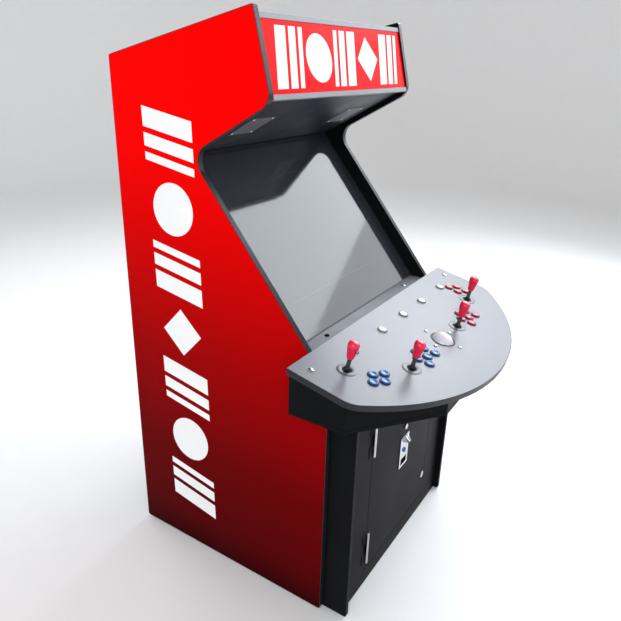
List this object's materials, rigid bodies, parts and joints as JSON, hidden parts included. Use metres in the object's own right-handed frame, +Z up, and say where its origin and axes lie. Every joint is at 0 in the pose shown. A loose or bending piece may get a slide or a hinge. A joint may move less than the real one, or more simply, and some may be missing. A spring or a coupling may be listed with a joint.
{
  "type": "arcade cabinet",
  "caption": "Upright arcade cabinet with shaped red side panels, lit marquee, leaning screen behind smoked glass, sloping control deck with sticks, buttons and trackball, and a coin door.",
  "frame": {"origin": "centre of the bounding box on the floor", "axes": "+X to the player's right when facing the screen, -Y the front where the players stand, +Z up"},
  "size_m": [1.042, 1.1328, 1.7785],
  "materials": {
    "red_laminate": "satin red laminate on board",
    "black_board": "satin black laminate on board",
    "brown_black_board": "painted board",
    "edge_vinyl": "vinyl edge moulding",
    "red_acrylic": "lit red acrylic sheet",
    "grey_retainer": "pale grey extruded strip",
    "soffit_board": "dark blue-grey board",
    "grille_steel": "perforated sheet",
    "smoked_glass": "smoked sheet",
    "monitor_case": "moulded case",
    "deck_laminate": "pale grey textured laminate on board",
    "button_plastic": "moulded button bodies",
    "control_plastic": "moulded nylon and rubber",
    "zinc_box": "folded sheet",
    "unit_case": "equipment cases",
    "black_steel": "black bolts and hinge leaves",
    "foot_plastic": "glide feet",
    "chrome": "polished plate",
    "white_cap": "moulded cap",
    "blue_cap": "moulded cap",
    "pink_cap": "moulded cap",
    "red_cap": "moulded cap",
    "stick_red": "moulded bat top on a steel shaft",
    "pivot_nylon": "nylon ring",
    "ball_white": "translucent ball"
  },
  "bodies": {
    "cabinet": {"side_panel_left": "red_laminate", "side_panel_right": "red_laminate", "edge_moulding": "edge_vinyl", "base_plates": "black_board", "front_frame": "brown_black_board", "rear_panel": "black_board", "end_boards": "black_board", "marquee_panel": "red_acrylic", "marquee_retainers": "grey_retainer", "speaker_board": "soffit_board", "speaker_grilles": "grille_steel", "screen_glass": "smoked_glass", "screen_surround": "black_board", "monitor": "monitor_case", "control_top": "deck_laminate", "control_box": "black_board", "button_bodies": "button_plastic", "control_bases": "control_plastic", "cash_box": "zinc_box", "electrical_units": "unit_case", "fixings": "black_steel", "feet": "foot_plastic"},
    "coin_door": {"coin_door": "brown_black_board", "door_metalwork": "chrome"},
    "reject_button": {"reject_button": "blue_cap"},
    "door_lock": {"door_lock": "chrome"},
    "trackball": {"trackball": "ball_white"},
    "start_button_1": {"start_button_1": "white_cap"},
    "start_button_2": {"start_button_2": "white_cap"},
    "start_button_3": {"start_button_3": "white_cap"},
    "start_button_4": {"start_button_4": "white_cap"},
    "start_button_5": {"start_button_5": "white_cap"},
    "p1_button_1": {"p1_button_1": "blue_cap"},
    "p1_button_2": {"p1_button_2": "blue_cap"},
    "p1_button_3": {"p1_button_3": "blue_cap"},
    "p1_button_4": {"p1_button_4": "blue_cap"},
    "p1_button_5": {"p1_button_5": "blue_cap"},
    "p1_button_6": {"p1_button_6": "blue_cap"},
    "p2_button_1": {"p2_button_1": "pink_cap"},
    "p2_button_2": {"p2_button_2": "pink_cap"},
    "p2_button_3": {"p2_button_3": "pink_cap"},
    "p2_button_4": {"p2_button_4": "pink_cap"},
    "p2_button_5": {"p2_button_5": "pink_cap"},
    "p2_button_6": {"p2_button_6": "pink_cap"},
    "p3_button_1": {"p3_button_1": "blue_cap"},
    "p3_button_2": {"p3_button_2": "blue_cap"},
    "p3_button_3": {"p3_button_3": "blue_cap"},
    "p3_button_4": {"p3_button_4": "blue_cap"},
    "p4_button_1": {"p4_button_1": "red_cap"},
    "p4_button_2": {"p4_button_2": "red_cap"},
    "p4_button_3": {"p4_button_3": "red_cap"},
    "p4_button_4": {"p4_button_4": "red_cap"},
    "p1_pivot": {"p1_pivot": "pivot_nylon"},
    "p1_stick": {"p1_stick": "stick_red"},
    "p2_pivot": {"p2_pivot": "pivot_nylon"},
    "p2_stick": {"p2_stick": "stick_red"},
    "p3_pivot": {"p3_pivot": "pivot_nylon"},
    "p3_stick": {"p3_stick": "stick_red"},
    "p4_pivot": {"p4_pivot": "pivot_nylon"},
    "p4_stick": {"p4_stick": "stick_red"}
  },
  "joints": [
    {"name": "coin_door_hinge", "type": "hinge", "parent": "cabinet", "child": "coin_door", "pos_m": [-0.241, -0.28496, 0.375], "axis": [0, 0, -1], "range_deg": [0, 105]},
    {"name": "door_lock_turn", "type": "hinge", "parent": "coin_door", "child": "door_lock", "pos_m": [0.217, -0.28346, 0.17], "axis": [0, -1, 0], "range_deg": [0, 90]},
    {"name": "reject_button_press", "type": "slide", "parent": "coin_door", "child": "reject_button", "axis": [0, 1, 0], "range_m": [0, 0.003], "stiffness_N_per_m": 300, "springref_m": -0.002},
    {"name": "trackball_roll", "type": "hinge", "parent": "cabinet", "child": "trackball", "pos_m": [0, -0.37238, 0.8388], "axis": [1, 0, 0], "continuous": true},
    {"name": "start_button_1_press", "type": "slide", "parent": "cabinet", "child": "start_button_1", "axis": [0, 0.213, -0.977], "range_m": [0, 0.0035], "stiffness_N_per_m": 400, "springref_m": -0.002},
    {"name": "start_button_2_press", "type": "slide", "parent": "cabinet", "child": "start_button_2", "axis": [0, 0.213, -0.977], "range_m": [0, 0.0035], "stiffness_N_per_m": 400, "springref_m": -0.002},
    {"name": "start_button_3_press", "type": "slide", "parent": "cabinet", "child": "start_button_3", "axis": [0, 0.213, -0.977], "range_m": [0, 0.0035], "stiffness_N_per_m": 400, "springref_m": -0.002},
    {"name": "start_button_4_press", "type": "slide", "parent": "cabinet", "child": "start_button_4", "axis": [0, 0.213, -0.977], "range_m": [0, 0.0035], "stiffness_N_per_m": 400, "springref_m": -0.002},
    {"name": "start_button_5_press", "type": "slide", "parent": "cabinet", "child": "start_button_5", "axis": [0, 0.213, -0.977], "range_m": [0, 0.0035], "stiffness_N_per_m": 400, "springref_m": -0.002},
    {"name": "p1_button_1_press", "type": "slide", "parent": "cabinet", "child": "p1_button_1", "axis": [0, 0.213, -0.977], "range_m": [0, 0.0035], "stiffness_N_per_m": 400, "springref_m": -0.002},
    {"name": "p1_button_2_press", "type": "slide", "parent": "cabinet", "child": "p1_button_2", "axis": [0, 0.213, -0.977], "range_m": [0, 0.0035], "stiffness_N_per_m": 400, "springref_m": -0.002},
    {"name": "p1_button_3_press", "type": "slide", "parent": "cabinet", "child": "p1_button_3", "axis": [0, 0.213, -0.977], "range_m": [0, 0.0035], "stiffness_N_per_m": 400, "springref_m": -0.002},
    {"name": "p1_button_4_press", "type": "slide", "parent": "cabinet", "child": "p1_button_4", "axis": [0, 0.213, -0.977], "range_m": [0, 0.0035], "stiffness_N_per_m": 400, "springref_m": -0.002},
    {"name": "p1_button_5_press", "type": "slide", "parent": "cabinet", "child": "p1_button_5", "axis": [0, 0.213, -0.977], "range_m": [0, 0.0035], "stiffness_N_per_m": 400, "springref_m": -0.002},
    {"name": "p1_button_6_press", "type": "slide", "parent": "cabinet", "child": "p1_button_6", "axis": [0, 0.213, -0.977], "range_m": [0, 0.0035], "stiffness_N_per_m": 400, "springref_m": -0.002},
    {"name": "p2_button_1_press", "type": "slide", "parent": "cabinet", "child": "p2_button_1", "axis": [0, 0.213, -0.977], "range_m": [0, 0.0035], "stiffness_N_per_m": 400, "springref_m": -0.002},
    {"name": "p2_button_2_press", "type": "slide", "parent": "cabinet", "child": "p2_button_2", "axis": [0, 0.213, -0.977], "range_m": [0, 0.0035], "stiffness_N_per_m": 400, "springref_m": -0.002},
    {"name": "p2_button_3_press", "type": "slide", "parent": "cabinet", "child": "p2_button_3", "axis": [0, 0.213, -0.977], "range_m": [0, 0.0035], "stiffness_N_per_m": 400, "springref_m": -0.002},
    {"name": "p2_button_4_press", "type": "slide", "parent": "cabinet", "child": "p2_button_4", "axis": [0, 0.213, -0.977], "range_m": [0, 0.0035], "stiffness_N_per_m": 400, "springref_m": -0.002},
    {"name": "p2_button_5_press", "type": "slide", "parent": "cabinet", "child": "p2_button_5", "axis": [0, 0.213, -0.977], "range_m": [0, 0.0035], "stiffness_N_per_m": 400, "springref_m": -0.002},
    {"name": "p2_button_6_press", "type": "slide", "parent": "cabinet", "child": "p2_button_6", "axis": [0, 0.213, -0.977], "range_m": [0, 0.0035], "stiffness_N_per_m": 400, "springref_m": -0.002},
    {"name": "p3_button_1_press", "type": "slide", "parent": "cabinet", "child": "p3_button_1", "axis": [0, 0.213, -0.977], "range_m": [0, 0.0035], "stiffness_N_per_m": 400, "springref_m": -0.002},
    {"name": "p3_button_2_press", "type": "slide", "parent": "cabinet", "child": "p3_button_2", "axis": [0, 0.213, -0.977], "range_m": [0, 0.0035], "stiffness_N_per_m": 400, "springref_m": -0.002},
    {"name": "p3_button_3_press", "type": "slide", "parent": "cabinet", "child": "p3_button_3", "axis": [0, 0.213, -0.977], "range_m": [0, 0.0035], "stiffness_N_per_m": 400, "springref_m": -0.002},
    {"name": "p3_button_4_press", "type": "slide", "parent": "cabinet", "child": "p3_button_4", "axis": [0, 0.213, -0.977], "range_m": [0, 0.0035], "stiffness_N_per_m": 400, "springref_m": -0.002},
    {"name": "p4_button_1_press", "type": "slide", "parent": "cabinet", "child": "p4_button_1", "axis": [0, 0.213, -0.977], "range_m": [0, 0.0035], "stiffness_N_per_m": 400, "springref_m": -0.002},
    {"name": "p4_button_2_press", "type": "slide", "parent": "cabinet", "child": "p4_button_2", "axis": [0, 0.213, -0.977], "range_m": [0, 0.0035], "stiffness_N_per_m": 400, "springref_m": -0.002},
    {"name": "p4_button_3_press", "type": "slide", "parent": "cabinet", "child": "p4_button_3", "axis": [0, 0.213, -0.977], "range_m": [0, 0.0035], "stiffness_N_per_m": 400, "springref_m": -0.002},
    {"name": "p4_button_4_press", "type": "slide", "parent": "cabinet", "child": "p4_button_4", "axis": [0, 0.213, -0.977], "range_m": [0, 0.0035], "stiffness_N_per_m": 400, "springref_m": -0.002},
    {"name": "p1_stick_forward_back", "type": "hinge", "parent": "cabinet", "child": "p1_pivot", "pos_m": [-0.236, -0.3706, 0.82599], "axis": [0.9903, 0.136, 0.0296], "range_deg": [-9, 9], "stiffness_Nm_per_rad": 3},
    {"name": "p1_stick_left_right", "type": "hinge", "parent": "p1_pivot", "child": "p1_stick", "pos_m": [-0.236, -0.3706, 0.82599], "axis": [-0.1392, 0.9675, 0.211], "range_deg": [-9, 9], "stiffness_Nm_per_rad": 3},
    {"name": "p2_stick_forward_back", "type": "hinge", "parent": "cabinet", "child": "p2_pivot", "pos_m": [0.125, -0.3706, 0.82599], "axis": [0.9903, 0.136, 0.0296], "range_deg": [-9, 9], "stiffness_Nm_per_rad": 3},
    {"name": "p2_stick_left_right", "type": "hinge", "parent": "p2_pivot", "child": "p2_stick", "pos_m": [0.125, -0.3706, 0.82599], "axis": [-0.1392, 0.9675, 0.211], "range_deg": [-9, 9], "stiffness_Nm_per_rad": 3},
    {"name": "p3_stick_forward_back", "type": "hinge", "parent": "cabinet", "child": "p3_pivot", "pos_m": [-0.396, -0.24945, 0.8524], "axis": [0.515, -0.8375, -0.1826], "range_deg": [-9, 9], "stiffness_Nm_per_rad": 3},
    {"name": "p3_stick_left_right", "type": "hinge", "parent": "p3_pivot", "child": "p3_stick", "pos_m": [-0.396, -0.24945, 0.8524], "axis": [0.8572, 0.5032, 0.1097], "range_deg": [-9, 9], "stiffness_Nm_per_rad": 3},
    {"name": "p4_stick_forward_back", "type": "hinge", "parent": "cabinet", "child": "p4_pivot", "pos_m": [0.353, -0.32175, 0.83664], "axis": [0.515, 0.8375, 0.1826], "range_deg": [-9, 9], "stiffness_Nm_per_rad": 3},
    {"name": "p4_stick_left_right", "type": "hinge", "parent": "p4_pivot", "child": "p4_stick", "pos_m": [0.353, -0.32175, 0.83664], "axis": [-0.8572, 0.5032, 0.1097], "range_deg": [-9, 9], "stiffness_Nm_per_rad": 3}
  ]
}
